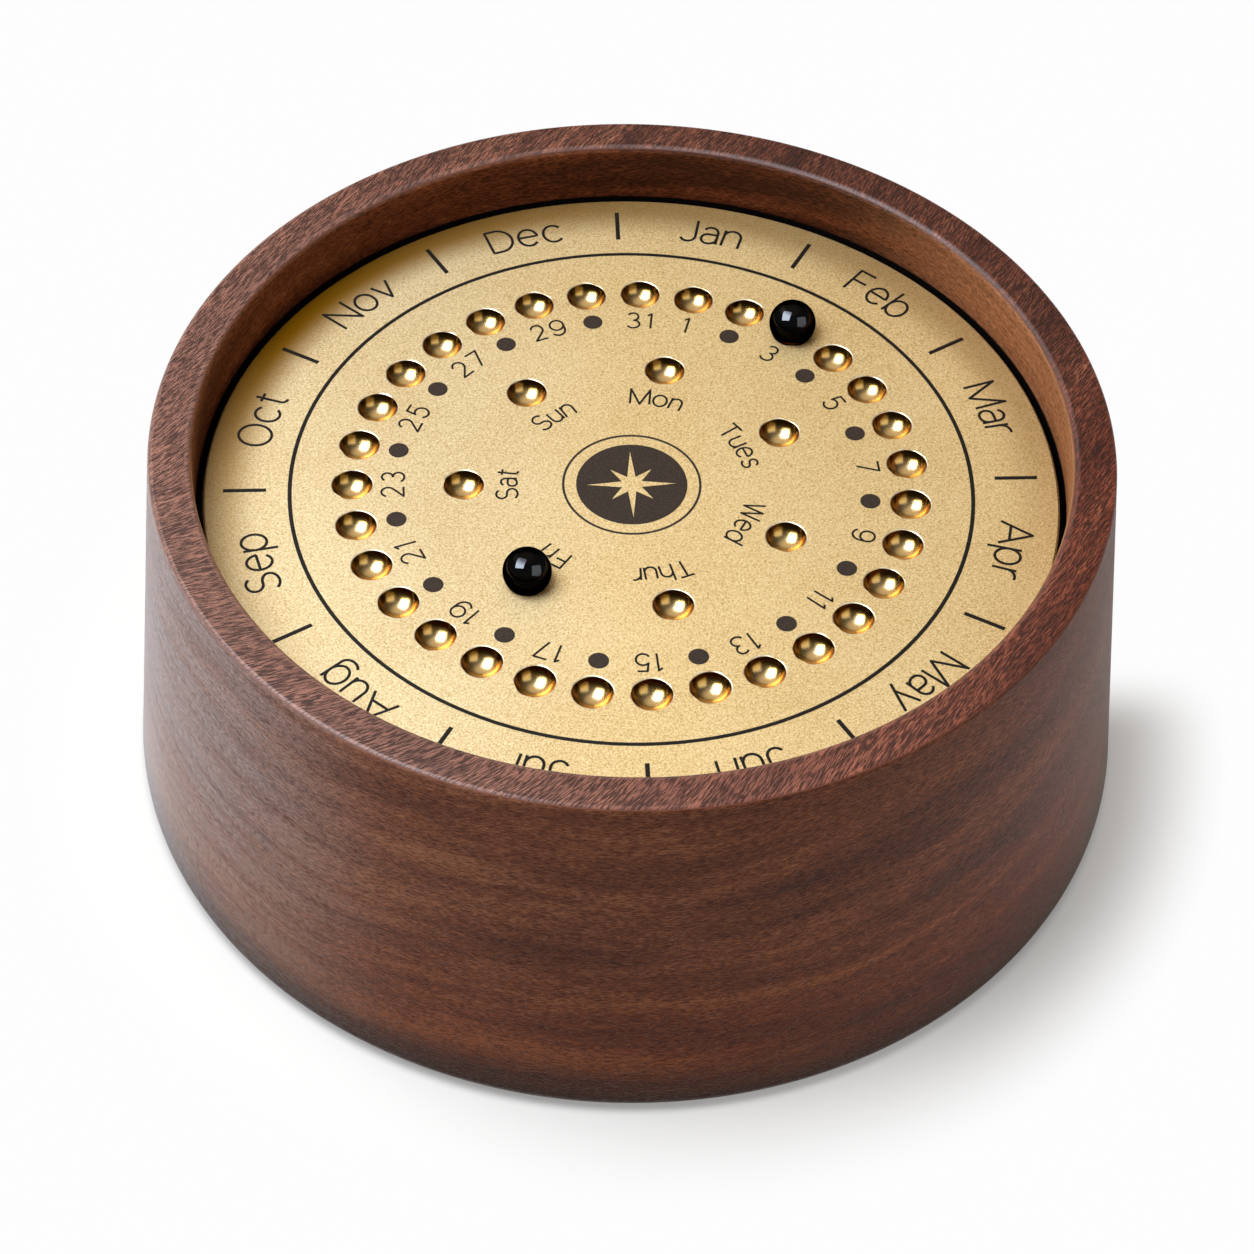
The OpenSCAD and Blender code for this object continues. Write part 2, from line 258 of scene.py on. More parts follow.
def axis_distance(place):
    """How far each point is from the upright axis, in millimetres."""
    across = place * (1.0, 1.0, 0.0)
    return Wire(place.tree, "VectorMath", {"operation": "LENGTH"}, {0: across}, "Value")


def upward_part(tree):
    """The upright part of the surface's own normal: 1 facing up, 0 on a wall, -1 facing down."""
    return Wire(tree, "TexCoord", output="Normal").part(2)


print("finishes can be made")

# %% [markdown]
# ## Rings, bands and pieces
# Nearly everything here is round. Blender's own cylinders and spheres would do for a start, but
# they fix where the points go. Rings of points with a band of faces between each two leave that
# open, and serve the table, the lathe and the dimples alike. A finished shape becomes an object
# at the origin, with its place in its mesh, as it is for the CAD nodes.


# %% Rings, bands and pieces
def add_ring(shape, radius, z, segments, centre=(0.0, 0.0)):
    """A ring of points about an upright axis, or one point where the radius is nothing."""
    if radius < 1e-7:
        return [shape.verts.new((*centre, z))]
    turns = [2 * math.pi * i / segments for i in range(segments)]
    return [shape.verts.new((centre[0] + radius * math.cos(t),
                             centre[1] + radius * math.sin(t), z)) for t in turns]


def add_band(shape, first, second, material_index=0):
    """Faces between two rings of points, or between a ring and one point."""
    count = max(len(first), len(second))
    for j in range(count):
        k = (j + 1) % count
        ends = [first[j % len(first)], first[k % len(first)],
                second[k % len(second)], second[j % len(second)]]
        face = shape.faces.new(list(dict.fromkeys(ends)))
        face.material_index = material_index


def new_piece(name, shape, material):
    """Puts a finished bmesh into the scene as an object at the origin."""
    mesh = bpy.data.meshes.new(name)
    shape.normal_update()
    shape.to_mesh(mesh)
    shape.free()
    mesh.materials.append(material)
    piece = bpy.data.objects.new(name, mesh)
    bpy.context.scene.collection.objects.link(piece)
    return piece


print("rings, bands and pieces ready")

# %% [markdown]
# ## The table and its light
# The object stands on a plain white table in soft studio light. A big lamp could burn the table
# out to white, but it would burn the brass out as well. So the table is a mid-grey diffuse
# surface, and light of its own is added only where the camera, a gloss or a glass looks at it. It
# then reads as white and still keeps the drum's shadow. Away from the drum, and behind it at the
# right, the grey gives way to the table's own light, so the shadow stays short. The open side
# away from the shadow glows a little more. Close to the foot both are held back, which leaves
# the dark line of contact. Seen from below the table isn't there, and it has a round hole that
# the drum covers, so that light from below reaches the base.

# %% The table's size, its tones, and where they change, in mm
table_r = 3000.0 * mm
table_hole_r = 57.0 * mm
table_segments = 120
table_grey = 0.56
table_tint = (1.0, 0.94, 0.86)
table_glow = 0.265
open_glow = 0.39
far_grey = 0.0
far_glow = 0.985
contact_from = 62.8
contact_to = 64.4
contact_level = 0.72
near_r = 63.0
far_r = 80.5
front_half = (-8.0, 10.0, 1.0, 0.0)
left_half = (-10.0, 40.0, 1.0, 0.0)
shadow_from = 20.0
shadow_to = 60.0
print("table grey fades out", far_r, "mm from the axis")


# %% Table
def table_surface():
    material = bpy.data.materials.new("white_table")
    material.use_nodes = True
    tree = material.node_tree
    tree.nodes.remove(tree.nodes["Principled BSDF"])
    place = Wire(tree, "TexCoord", output="Object") * (1 / mm)
    radius = axis_distance(place)
    shaded = place.part(1).clamp(*front_half) + place.part(0).clamp(*left_half)
    shaded = shaded.clamp(0.0, 1.0)
    grey = radius.clamp(near_r, far_r, table_grey, far_grey) * shaded
    near_glow = place.part(0).clamp(shadow_from, shadow_to, open_glow, table_glow)
    own = far_glow - (far_glow - radius.clamp(near_r, far_r, near_glow, far_glow)) * shaded
    paths = [Wire(tree, "LightPath", output=ray) for ray in
             ("Is Camera Ray", "Is Glossy Ray", "Is Transmission Ray")]
    seen = (paths[0] + paths[1] + paths[2]).clamp(0.0, 1.0)
    contact = radius.clamp(contact_from, contact_to, contact_level, 1.0)
    tinted = blend_colours(tree, 1.0, grey * contact, table_tint, "MULTIPLY")
    matt = Wire(tree, "BsdfDiffuse", None, {"Color": tinted})
    glow = Wire(tree, "Emission", None, {"Color": own * contact, "Strength": seen})
    lit = Wire(tree, "AddShader", None, {0: matt, 1: glow})
    clear = Wire(tree, "BsdfTransparent")
    below = Wire(tree, "NewGeometry", output="Backfacing")
    both = Wire(tree, "MixShader", None, {0: below, 1: lit, 2: clear})
    join(tree, both, tree.nodes["Material Output"].inputs["Surface"])
    return material


table_shape = bmesh.new()
hole_ring = add_ring(table_shape, table_hole_r, 0.0, table_segments)
outer_ring = add_ring(table_shape, table_r, 0.0, table_segments)
add_band(table_shape, outer_ring, hole_ring)
table = new_piece("table", table_shape, table_surface())
print("table of radius", table_r, "m")

# %% [markdown]
# The studio is a dim room with a large weak panel behind the calendar, which fades out at its
# edges and fills the dial. Polished parts need such contrast: under an even sky a black ball
# looks grey and a gold bowl looks flat. The main light is a soft box at the left, close enough
# that the drum's left side gets more of it than the right, and it is the window in the balls. A
# weak one at the right only lifts the shadows. Three low strips light the drum's sides. They
# hang lower than the rim lets the dial see, and are hidden from reflections. Below the table
# there is a plain glow, which shows the base to a camera down there and nothing else. Such a
# camera sees past the drum, so the room looks white to any camera.

# %% The studio's levels
ceiling_level = 0.05
below_level = 0.7
panel_light = (0.47, 0.38, 0.265)
panel_towards = (-0.10, 0.55, 0.83)
panel_core = 14.0
panel_edge = 50.0
strip_width = 62.0
strip_height = 9.0
strip_distance = 0.7
strips = (
    ("left", (-0.98, -0.06, 0.0), 7.5),
    ("front", (-0.05, -1.0, 0.0), 1.9),
    ("right", (0.98, -0.20, 0.0), 10.0),
)
print("panel of", panel_edge, "degrees,", len(strips), "strips")


# %% Studio
def panel(direction, towards, core, edge):
    """1 within core degrees of a direction, and 0 beyond edge degrees."""
    tree = direction.tree
    aim_at = tuple(Vector(towards).normalized())
    nearness = Wire(tree, "VectorMath", {"operation": "DOT_PRODUCT"},
                    {0: direction, 1: aim_at}, "Value")
    return nearness.clamp(math.cos(math.radians(edge)), math.cos(math.radians(core)))


def dim_room():
    world = bpy.data.worlds.new("studio")
    world.use_nodes = True
    bpy.context.scene.world = world
    tree = world.node_tree
    direction = Wire(tree, "TexCoord", output="Generated")
    room = direction.part(2).clamp(-0.2, -0.1, below_level, ceiling_level)
    nearness = panel(direction, panel_towards, panel_core, panel_edge)
    back = blend_colours(tree, nearness, (0.0, 0.0, 0.0), panel_light)
    light = blend_colours(tree, 1.0, room, back, "ADD")
    camera_ray = Wire(tree, "LightPath", output="Is Camera Ray")
    light = blend_colours(tree, camera_ray, light, (1.0, 1.0, 1.0))
    join(tree, light, tree.nodes["Background"].inputs["Color"])


def softbox(name, towards, width, height, level, roll, distance, colour=(1.0, 1.0, 1.0)):
    """A lamp seen from the dial in a direction, width by height in degrees. level is how bright
    it looks, and roll turns it about its own axis, in degrees."""
    lamp = bpy.data.lights.new(name, "AREA")
    lamp.shape = "RECTANGLE"
    lamp.size = 2 * distance * math.tan(math.radians(width / 2))
    lamp.size_y = 2 * distance * math.tan(math.radians(height / 2))
    lamp.energy = level * math.pi * lamp.size * lamp.size_y
    lamp.color = colour
    box = bpy.data.objects.new(name, lamp)
    away = Vector(towards).normalized()
    box.location = dial_centre + distance * away
    turn = Quaternion((0, 0, 1), math.radians(roll))
    box.rotation_euler = (away.to_track_quat("Z", "Y") @ turn).to_euler()
    bpy.context.scene.collection.objects.link(box)
    return box


dim_room()
softbox("left_softbox", towards=(-0.498, -0.035, 0.867), width=40, height=46,
        level=7.7, roll=58.4, distance=0.40, colour=(0.82, 0.89, 1.0))
softbox("right_softbox", towards=(0.695, -0.481, 0.533), width=46, height=46,
        level=0.8, roll=-36.7, distance=0.9)
for side, towards, level in strips:
    strip = softbox("strip_" + side, towards, strip_width, strip_height, level, 0, strip_distance)
    strip.visible_glossy = False
print("studio: a room with a panel, two soft boxes and three strips")

# %% [markdown]
# ## Turned pieces
# Most of the parts come off a lathe, and a lathe part is an outline turned about an axis. Blender
# has a Screw modifier for that, but a short function gives control over the seam, over points on
# the axis, and over which edges stay crisp. Outlines are lists of (radius, height), in order
# round the section, and rounded corners are arcs of points.


# %% A lathe
def rounded(x, z, radius, start, end, steps=8):
    """Points of a rounded corner about (x, z), from one angle in degrees to another."""
    turns = [math.radians(start + (end - start) * i / steps) for i in range(steps + 1)]
    return [(x + radius * math.cos(t), z + radius * math.sin(t)) for t in turns]


def crease(shape, least=32.0):
    """Shades a shape smoothly, with crisp edges where its faces meet at a wide angle."""
    for face in shape.faces:
        face.smooth = True
    for edge in shape.edges:
        if len(edge.link_faces) == 2:
            edge.smooth = edge.calc_face_angle(0.0) < math.radians(least)
        else:
            edge.smooth = False


def turned(outline, segments, centre=(0.0, 0.0), closed=True):
    """An outline of (radius, height) turned about an upright axis, as a bmesh."""
    shape = bmesh.new()
    rings = [add_ring(shape, radius, z, segments, centre) for radius, z in outline]
    after = rings[1:] + rings[:1] if closed else rings[1:]
    for first, second in zip(rings, after):
        add_band(shape, first, second)
    bmesh.ops.recalc_face_normals(shape, faces=shape.faces)
    crease(shape)
    return shape


print("lathe ready")

# %% [markdown]
# ## Walnut
# The drum is dark, oiled walnut. On its wall the fibres run round the drum, broken by fine dark
# pores, under long soft bands of darker growth. The flat rim cuts across the same board, so its
# pores show as short dense strokes, level at the front left and climbing to the right elsewhere.
# A picture wrapped round the wall would show a seam. Instead the noise is stretched: on the
# wall, height counts many times more than the way round, and on flat faces the way across the
# strokes counts more than the way along them. The surface's own normal says which applies.

# %% Coordinates along the grain
bend_from = 66.0
bend_soft = 12.0
bend_lean = 0.8
level_rise = 1.44
climb_rise = 0.95
along_x = 0.75
along_y = 0.5
board_facing = (0.55, 0.75)


def grained(tree, place, length, width, sway):
    """Coordinates in which a lump of noise 1 unit wide is a stroke of that length and width. The
    strokes run round the wall, and along the board on faces that look up or down."""
    x, y, height = (place.part(axis) for axis in range(3))
    past = x + y * bend_lean + bend_from
    climb = (past + (past * past + bend_soft ** 2) ** 0.5) * 0.5
    side = y * level_rise - climb * climb_rise
    run = x * along_x + y * along_y
    wall = Wire(tree, "CombineXYZ", None, {
        0: x * (1 / length), 1: y * (1 / length), 2: (height + sway) * (1 / width)})
    board = Wire(tree, "CombineXYZ", None, {
        0: run * (1 / length), 1: (side + sway) * (1 / width), 2: height * (1 / length)})
    return blend_vectors(tree, abs(upward_part(tree)).clamp(*board_facing), wall, board)


print("grain bends", bend_from, "mm from the axis")

# %% [markdown]
# The colour is built in layers. Wide bands and narrower streaks choose a tone from dark heartwood
# to pale brown, blotches break it up, fine fibres darken it in lines, and pores cut through it,
# strongly on the rim and faintly on the wall. Masks then vary it as one board varies: calmer at
# the right of the wall and redder at the front right of the rim. Other masks paint light and shade
# into the colour. The wood is painted lighter towards the left, where the main lamp falls, and
# the rim's left gets a pale painted sheen. The right of the recess wall gets a paler orange as
# painted light from that lamp, and the recess wall a warm, darker tint as painted light thrown
# back by the gold dial. The wall's left gets a grey painted sheen, broken by streaks; the wall is
# warmer and darker low down, and painted shade makes it nearly black at the foot. Below the
# dial's face the recess wall is painted black as shade, so the running gap round the dial reads
# as one clean dark line. Hands polish the inner arris, the left of the outer one and, a little,
# the rim, which is a thin coat. They and the wax have also left a faint pale sheen outside that
# shows where the wall turns away. The recess has none, so it is the same look in a plainer finish.

# %% Walnut tones
walnut_tones = ((0.38, (0.060, 0.021, 0.011)), (0.46, (0.130, 0.041, 0.020)),
                (0.54, (0.215, 0.070, 0.033)), (0.64, (0.370, 0.145, 0.068)))
fleck_tones = ((0.36, (0.48, 0.43, 0.40)), (0.58, (1.0, 1.0, 1.0)))
pore_tone = (0.030, 0.012, 0.009)
# a pale painted sheen on the rim's left
painted_rim_sheen_tone = (0.350, 0.190, 0.145)
# a grey painted sheen on the wall's left
painted_sheen_tone = (0.380, 0.290, 0.260)
# painted light: a warm, darker tint for the light the gold dial throws on the recess wall
gold_bounce_tint = (0.94, 0.80, 0.62)
low_tint = (0.93, 0.68, 0.47)
# painted shade, nearly black, at the foot
foot_shade_tone = (0.030, 0.011, 0.005)
# painted light: a paler orange where the main lamp falls on the recess wall's right
lit_recess_tone = (0.44, 0.215, 0.125)
rim_tint = (1.0, 0.93, 1.08)
red_tint = (1.18, 0.92, 0.82)
# painted shade: black on the recess wall below the dial's face, in the gap round the dial
gap_shade_tone = (0.004, 0.003, 0.003)
middle_tone = 0.50
# painted light: the wood is lighter towards the left, where the main lamp falls
painted_light_lift = 0.12
rim_lift = 0.065
dark_shift = 0.062
print(len(walnut_tones), "tones of walnut, from heartwood to pale")

# %% Masks over the walnut, in mm, and some with their two levels
# painted light: where the wood turns lighter towards the left
lit_side = (-50.0, 60.0)
calm_side = (34.0, 58.0, 0.0, 0.55)
# where the grey painted sheen lies on the wall's left
painted_sheen_side = (38.0, 62.0, 0.0, 0.88)
# where the painted light lies on the recess wall's right
lit_recess_side = (26.0, 51.0)
red_side = (30.0, 72.0)
low_wall = (6.0, 36.0, 1.0, 0.0)
# painted shade: how high the dark band at the foot reaches
foot_shade_line = (1.0, 11.0, 1.0, 0.0)
inner_arris_line = (55.5, 57.0, 1.0, 0.0)
polished_side = (0.0, 35.0)
# painted shade: the recess wall is painted black below this height, inside the recess edge
gap_shade_from = (face_z + 0.1 * mm) / mm
gap_shade_soft = 0.15
recess_edge_r = 55.0
print("recess stained below", round(gap_shade_from, 2), "mm")

# %% Masks by how far a face looks up, and by the noises
rim_facing = (0.5, 0.8)
off_the_wall = (0.12, 0.30)
short_of_flat = (0.990, 0.999, 1.0, 0.0)
# streaks that break up the painted sheen
painted_sheen_streaks = (0.36, 0.60, 0.45, 1.0)
# streaks that break up the painted light on the recess wall
lit_recess_streaks = (0.35, 0.62, 0.65, 0.95)
pore_cut = (0.46, 0.58)
pore_level = (0.0, 1.0, 0.15, 0.82)
walnut_gloss = (0.3, 0.7, 0.46, 0.36)
stroke_length = 1.2
stroke_width = 0.15
sway_height = 4.0
grain_climb = 0.05
print("pores", stroke_length, "by", stroke_width, "mm")


# %% Walnut finish
def walnut_look(tree, place):
    sway = noise(place, 0.035, detail=1.0) * sway_height - place.part(0) * grain_climb
    facing = abs(upward_part(tree))
    flat = facing.clamp(*rim_facing)

    def grain(length, width, detail, roughness, distortion=0.0):
        """A noise of strokes of that length and width, in millimetres."""
        lumps = grained(tree, place, length, width, sway)
        return noise(lumps, 1.0, detail, roughness, distortion)

    strokes = grain(stroke_length, stroke_width, detail=2.0, roughness=0.5)
    fibres = grain(0.8, 0.16, detail=2.0, roughness=0.6)
    streaks = grain(25.0, 1.4, detail=3.0, roughness=0.6, distortion=0.3)
    bands = grain(55.0, 6.0, detail=2.0, roughness=0.5, distortion=0.5)
    blotch = grain(2.6, 0.9, detail=3.0, roughness=0.65)
    # painted light: a mask of the left, lit by the main lamp, which lightens the wood there
    left = (place.part(0) * -0.85 - place.part(1) * 0.45).clamp(*lit_side)
    tone = bands * 0.45 + streaks * 0.15 + blotch * 0.20 + fibres * 0.20
    tone = tone + left * painted_light_lift + flat * rim_lift - dark_shift
    calm = place.part(0).clamp(*calm_side) * (1.0 - flat)
    tone = tone + (middle_tone - tone) * calm
    ground = tone.ramp(*walnut_tones)
    radius = axis_distance(place)
    outside = radius.clamp(recess_edge_r, recess_edge_r + 1.0) * (1.0 - flat)
    # painted sheen: the wall's left is laid over with grey, broken by streaks
    painted_sheen = (place.part(0) * -1.0 - place.part(1) * 0.2).clamp(*painted_sheen_side)
    painted_sheen = painted_sheen * outside * streaks.clamp(*painted_sheen_streaks)
    ground = blend_colours(tree, painted_sheen, ground, painted_sheen_tone)
    inner = radius.clamp(recess_edge_r - 1.0, recess_edge_r - 0.5, 1.0, 0.0) * (1.0 - flat)
    # painted light: the recess wall's right turns paler where the main lamp falls
    lit_recess = place.part(0).clamp(*lit_recess_side) * streaks.clamp(*lit_recess_streaks) * inner
    ground = blend_colours(tree, lit_recess, ground, lit_recess_tone)
    wood = blend_colours(tree, 1.0, ground, fibres.ramp(*fleck_tones), "MULTIPLY")
    wood = blend_colours(tree, flat, wood, rim_tint, "MULTIPLY")
    red = (place.part(0) - place.part(1)).clamp(*red_side) * flat
    wood = blend_colours(tree, red, wood, red_tint, "MULTIPLY")
    # painted sheen: the rim's left is laid over with a pale tone
    wood = blend_colours(tree, left * flat * 0.45, wood, painted_rim_sheen_tone)
    pores = strokes.clamp(*pore_cut) * flat.clamp(*pore_level)
    wood = blend_colours(tree, pores, wood, pore_tone)
    low = place.part(2).clamp(*low_wall) * outside
    wood = blend_colours(tree, low, wood, low_tint, "MULTIPLY")
    # painted shade: the wood turns nearly black at the foot
    wood = blend_colours(tree, place.part(2).clamp(*foot_shade_line), wood, foot_shade_tone)
    # painted light: the recess wall takes the warm tint of light from the gold dial
    wood = blend_colours(tree, inner, wood, gold_bounce_tint, "MULTIPLY")
    # painted shade: the recess wall below the dial's face is painted black, so the gap reads dark
    deep = place.part(2).clamp(gap_shade_from - gap_shade_soft, gap_shade_from + gap_shade_soft, 1.0, 0.0)
    gap_shade = deep * radius.clamp(recess_edge_r - 0.5, recess_edge_r, 1.0, 0.0)
    wood = blend_colours(tree, gap_shade, wood, gap_shade_tone)
    arris = facing.clamp(*off_the_wall) * facing.clamp(*short_of_flat)
    relief = (fibres * 0.3 - pores) * (1.0 - arris)
    inner_arris = radius.clamp(*inner_arris_line)
    left_arris = (place.part(0) * -1.0).clamp(*polished_side) * (1.0 - inner_arris)
    return {
        "Base Color": wood,
        "Coat Weight": arris * (inner_arris + left_arris) * 0.9 + flat * 0.3,
        "Roughness": fibres.clamp(*walnut_gloss) + pores * 0.2,
        "Normal": bump(relief, depth=0.12, strength=0.9),
    }


walnut = new_finish("oiled_walnut", {
    "Specular IOR Level": 0.1, "Coat Roughness": 0.50, "Sheen Weight": 0.75,
    "Sheen Roughness": 0.22, "Sheen Tint": (1.0, 0.96, 0.96)}, walnut_look)
recess_walnut = new_finish("recess_walnut", {
    "Specular IOR Level": 0.06, "Coat Roughness": 0.42}, walnut_look)
print("walnut finishes ready:", walnut.name, "and", recess_walnut.name)

# %% [markdown]
# The drum itself is one turned block. Its outline goes once round the section: the access hole
# and pivot seats inside, the shelf and the felt's groove, the recess wall, the rounded rim, the
# slightly flared outer wall, and the softened foot. It follows the CAD solid, with more steps
# round the axis so that the satin light runs cleanly over it.

# %% The drum's sizes
rim_r = 59.1 * mm
drum_flare = 4.6 * mm
rim_wall = 5.3 * mm
rim_outer_round = 0.7 * mm
rim_inner_round = 0.9 * mm
foot_round = 1.6 * mm
seat_gap = 0.1 * mm
drum_segments = 360

wall_r = rim_r - rim_wall
foot_r = rim_r + drum_flare
print("drum", round(2 * rim_r / mm, 1), "mm across the rim,", round(2 * foot_r / mm, 1), "the foot")

# %% The seats under the dial
felt_low, felt_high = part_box("felt_glide_ring")
pad_low, pad_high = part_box("cork_base_pad")
bush_low, bush_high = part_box("pivot_bush")
hub_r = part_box("spindle_hub")[1].x
bush_r = 5.53 * mm
flange_z = bush_high.z - 2.0 * mm
access_r = 5.8 * mm
hub_pocket_r = hub_r + 1.2 * mm
felt_inner_r = felt_high.x - 6.0 * mm
shelf_z = underside_z - 0.8 * mm
felt_seat_z = felt_low.z
print("pivot seats from", round(pad_high.z / mm, 2), "to", round(shelf_z / mm, 2), "mm")


# %% Turn the drum
def drum_outline():
    lean = math.atan2(drum_flare, rim_z - foot_z)
    slant = math.degrees(lean)
    rim_x = rim_r - rim_outer_round * (1 - math.sin(lean)) / math.cos(lean)
    foot_x = foot_r - foot_round * (1 + math.sin(lean)) / math.cos(lean)
    pivot_seats = [
        (access_r, pad_high.z), (access_r, bush_low.z), (bush_r, bush_low.z),
        (bush_r, flange_z), (bush_high.x + seat_gap, flange_z),
        (bush_high.x + seat_gap, bush_high.z), (hub_pocket_r, bush_high.z), (hub_pocket_r, shelf_z),
    ]
    shelf = [
        (felt_inner_r - seat_gap, shelf_z), (felt_inner_r - seat_gap, felt_seat_z),
        (felt_high.x + seat_gap, felt_seat_z), (felt_high.x + seat_gap, shelf_z), (wall_r, shelf_z),
    ]
    rim = rounded(wall_r + rim_inner_round, rim_z - rim_inner_round, rim_inner_round, 180, 90)
    rim += rounded(rim_x, rim_z - rim_outer_round, rim_outer_round, 90, slant)
    foot = rounded(foot_x, foot_z + foot_round, foot_round, slant, -90)
    pad_seat = [(pad_high.x + seat_gap, foot_z), (pad_high.x + seat_gap, pad_high.z)]
    return pivot_seats + shelf + rim + foot + pad_seat


def drum_shape():
    shape = turned(drum_outline(), drum_segments)
    for face in shape.faces:
        middle = face.calc_center_median()
        face.material_index = int(middle.xy.length < wall_r + rim_inner_round / 4)
    return shape


drum = new_piece("turned_drum", drum_shape(), walnut)
drum.data.materials.append(recess_walnut)
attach(drum, "drum")
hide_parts("walnut_drum")
print("drum of", len(drum.data.polygons), "faces")

# %% [markdown]
# ## Brass
# The dial is brass in a gold tone, and it has two finishes. Its face is bead-blasted, which
# leaves a fine, even grain that spreads the light. Its colour is painted a touch paler on the
# left, as painted light from the main lamp, and darker at the far edge, close under the rim, as
# painted shade of the rim. The dimples are cut after blasting and then polished, so they act as
# small curved mirrors. Their colour has painted shade where they slope, a little painted light at
# the bottom, and a painted highlight on the pale lip. One material could mask the two by height,
# but two materials on one mesh say it more plainly and bake more cleanly.

# %% Brass tones, and where they change, in mm
gold = (0.920, 0.700, 0.360)
gold_tones = ((0.33, (0.69, 0.47, 0.18)), (0.50, gold), (0.67, (1.0, 0.86, 0.52)))
# painted shade on the bowls' slopes, by how far they look up, and a little painted light at the
# bottom
bowl_shade_tones = ((0.44, (0.07, 0.028, 0.004)), (0.66, (0.26, 0.125, 0.020)),
              (0.78, (0.86, 0.520, 0.150)), (0.98, (0.98, 0.740, 0.380)))
# a painted highlight on the bowls' lips
lip_highlight_tone = (1.0, 0.90, 0.68)
# painted shade: a darker gold at the dial's far edge, under the rim
rim_shade_gold = (0.340, 0.160, 0.004)
# painted light: the dial's colour is paler on the left, where the main lamp falls
painted_light_tint = (0.95, 0.99, 1.12)
grain_size = 0.22
grain_share = 0.85
# where the painted light lies on the dial's left
lit_left_side = (-28.0, 5.0, 1.0, 0.0)
# painted shade of the rim: at the dial's edge, mostly at the back and left
rim_shade_edge = (45.5, 51.2)
rim_shade_back = (-35.0, 30.0)
rim_shade_across = (-45.0, 40.0, 1.0, 0.45)
lip_band = (face_z / mm - 0.11, face_z / mm - 0.03)
print("blasting grain of", grain_size, "mm")


# %% Blasted and polished brass
def blasted_look(tree, place):
    grain = noise(place, 1 / grain_size, detail=1.0, roughness=0.6, distortion=0.8)
    cloud = noise(place, 0.05, detail=3.0, roughness=0.5)
    tone = (grain * grain_share + cloud * (1 - grain_share)).ramp(*gold_tones)
    # painted light: the dial turns paler towards the left
    tone = blend_colours(tree, place.part(0).clamp(*lit_left_side), tone, painted_light_tint, "MULTIPLY")
    # painted shade: the rim's shadow on the dial's far edge
    side = place.part(1).clamp(*rim_shade_back) * place.part(0).clamp(*rim_shade_across)
    rim_shade = axis_distance(place).clamp(*rim_shade_edge) * side
    return {
        "Base Color": blend_colours(tree, rim_shade, tone, rim_shade_gold),
        "Roughness": grain.clamp(0.3, 0.7, 0.60, 0.68),
        "Normal": bump(grain, depth=0.05, strength=0.6),
    }


def polished_look(tree, place):
    smear = noise(place * (1.0, 1.0, 3.0), 0.8, detail=2.0, roughness=0.5)
    upward = upward_part(tree)
    # painted shade and light: the bowl's colour follows its slope
    bowl = (upward + smear * 0.06).ramp(*bowl_shade_tones)
    # painted highlight: the lip is given a pale colour
    lip = place.part(2).clamp(*lip_band)
    return {
        "Base Color": blend_colours(tree, lip, bowl, lip_highlight_tone),
        "Roughness": upward.clamp(0.5, 0.9, 0.15, 0.24) + smear * 0.03 + lip * 0.22,
    }


blasted_brass = new_finish("blasted_brass", {"Metallic": 1.0}, blasted_look)
polished_brass = new_finish("polished_brass", {"Metallic": 1.0}, polished_look)
print("brass finishes ready")

# %% [markdown]
# The plate is a flat disc with 38 bowls milled into it. A Boolean would cut them, but leaves long
# uneven triangles and no control over the lip. So the face is filled by a triangulation between
# the outer edge and the bowls' mouths, and each bowl is built as rings: a small rounded lip,
# which catches the thin bright line, helped by a painted highlight in its colour, and then the
# ball-shaped hollow.

# %% Where the dimples are
date_count = 31
weekday_count = 7
date_turn = 4.1
weekday_turn = 14.0
date_circle_r = 34.6 * mm
weekday_circle_r = 20.8 * mm
mouth_r = 2.5 * mm
dimple_r = mouth_r + 0.2 * mm
lip_r = 0.26 * mm


def date_angle(date):
    return date_turn + date * 360 / date_count


def weekday_angle(day):
    return weekday_turn + (day - 1) * 360 / weekday_count


dimples = [clock_place(date_circle_r, date_angle(n)) for n in range(1, date_count + 1)]
dimples += [clock_place(weekday_circle_r, weekday_angle(n)) for n in range(1, weekday_count + 1)]
print(len(dimples), "dimples")


# %% The section of a dimple
lip_steps = 5
hollow_steps = 12


def bowl_section():
    """(radius, height) from the face in to the middle of a dimple, with a rounded lip."""
    rise = math.sqrt(dimple_r ** 2 - mouth_r ** 2)
    slope = math.degrees(math.acos(rise / dimple_r))
    reach = (dimple_r + lip_r) * math.sin(math.acos((rise + lip_r) / (dimple_r + lip_r)))
    tilt = math.degrees(math.asin(reach / (dimple_r + lip_r)))
    lip = rounded(reach, face_z - lip_r, lip_r, 90, 90 + tilt, lip_steps)
    hollow = [math.radians(tilt * (1 - i / hollow_steps)) for i in range(1, hollow_steps + 1)]
    ball = [(dimple_r * math.sin(t), face_z + rise - dimple_r * math.cos(t)) for t in hollow]
    print("bowl slope", round(slope, 1), "degrees, mouth", round(reach / mm, 2), "mm")
    return lip + ball


dimple_section = bowl_section()

# %% The dial plate
edge_chamfer = 0.25 * mm
mouth_segments = 56
plate_segments = 360


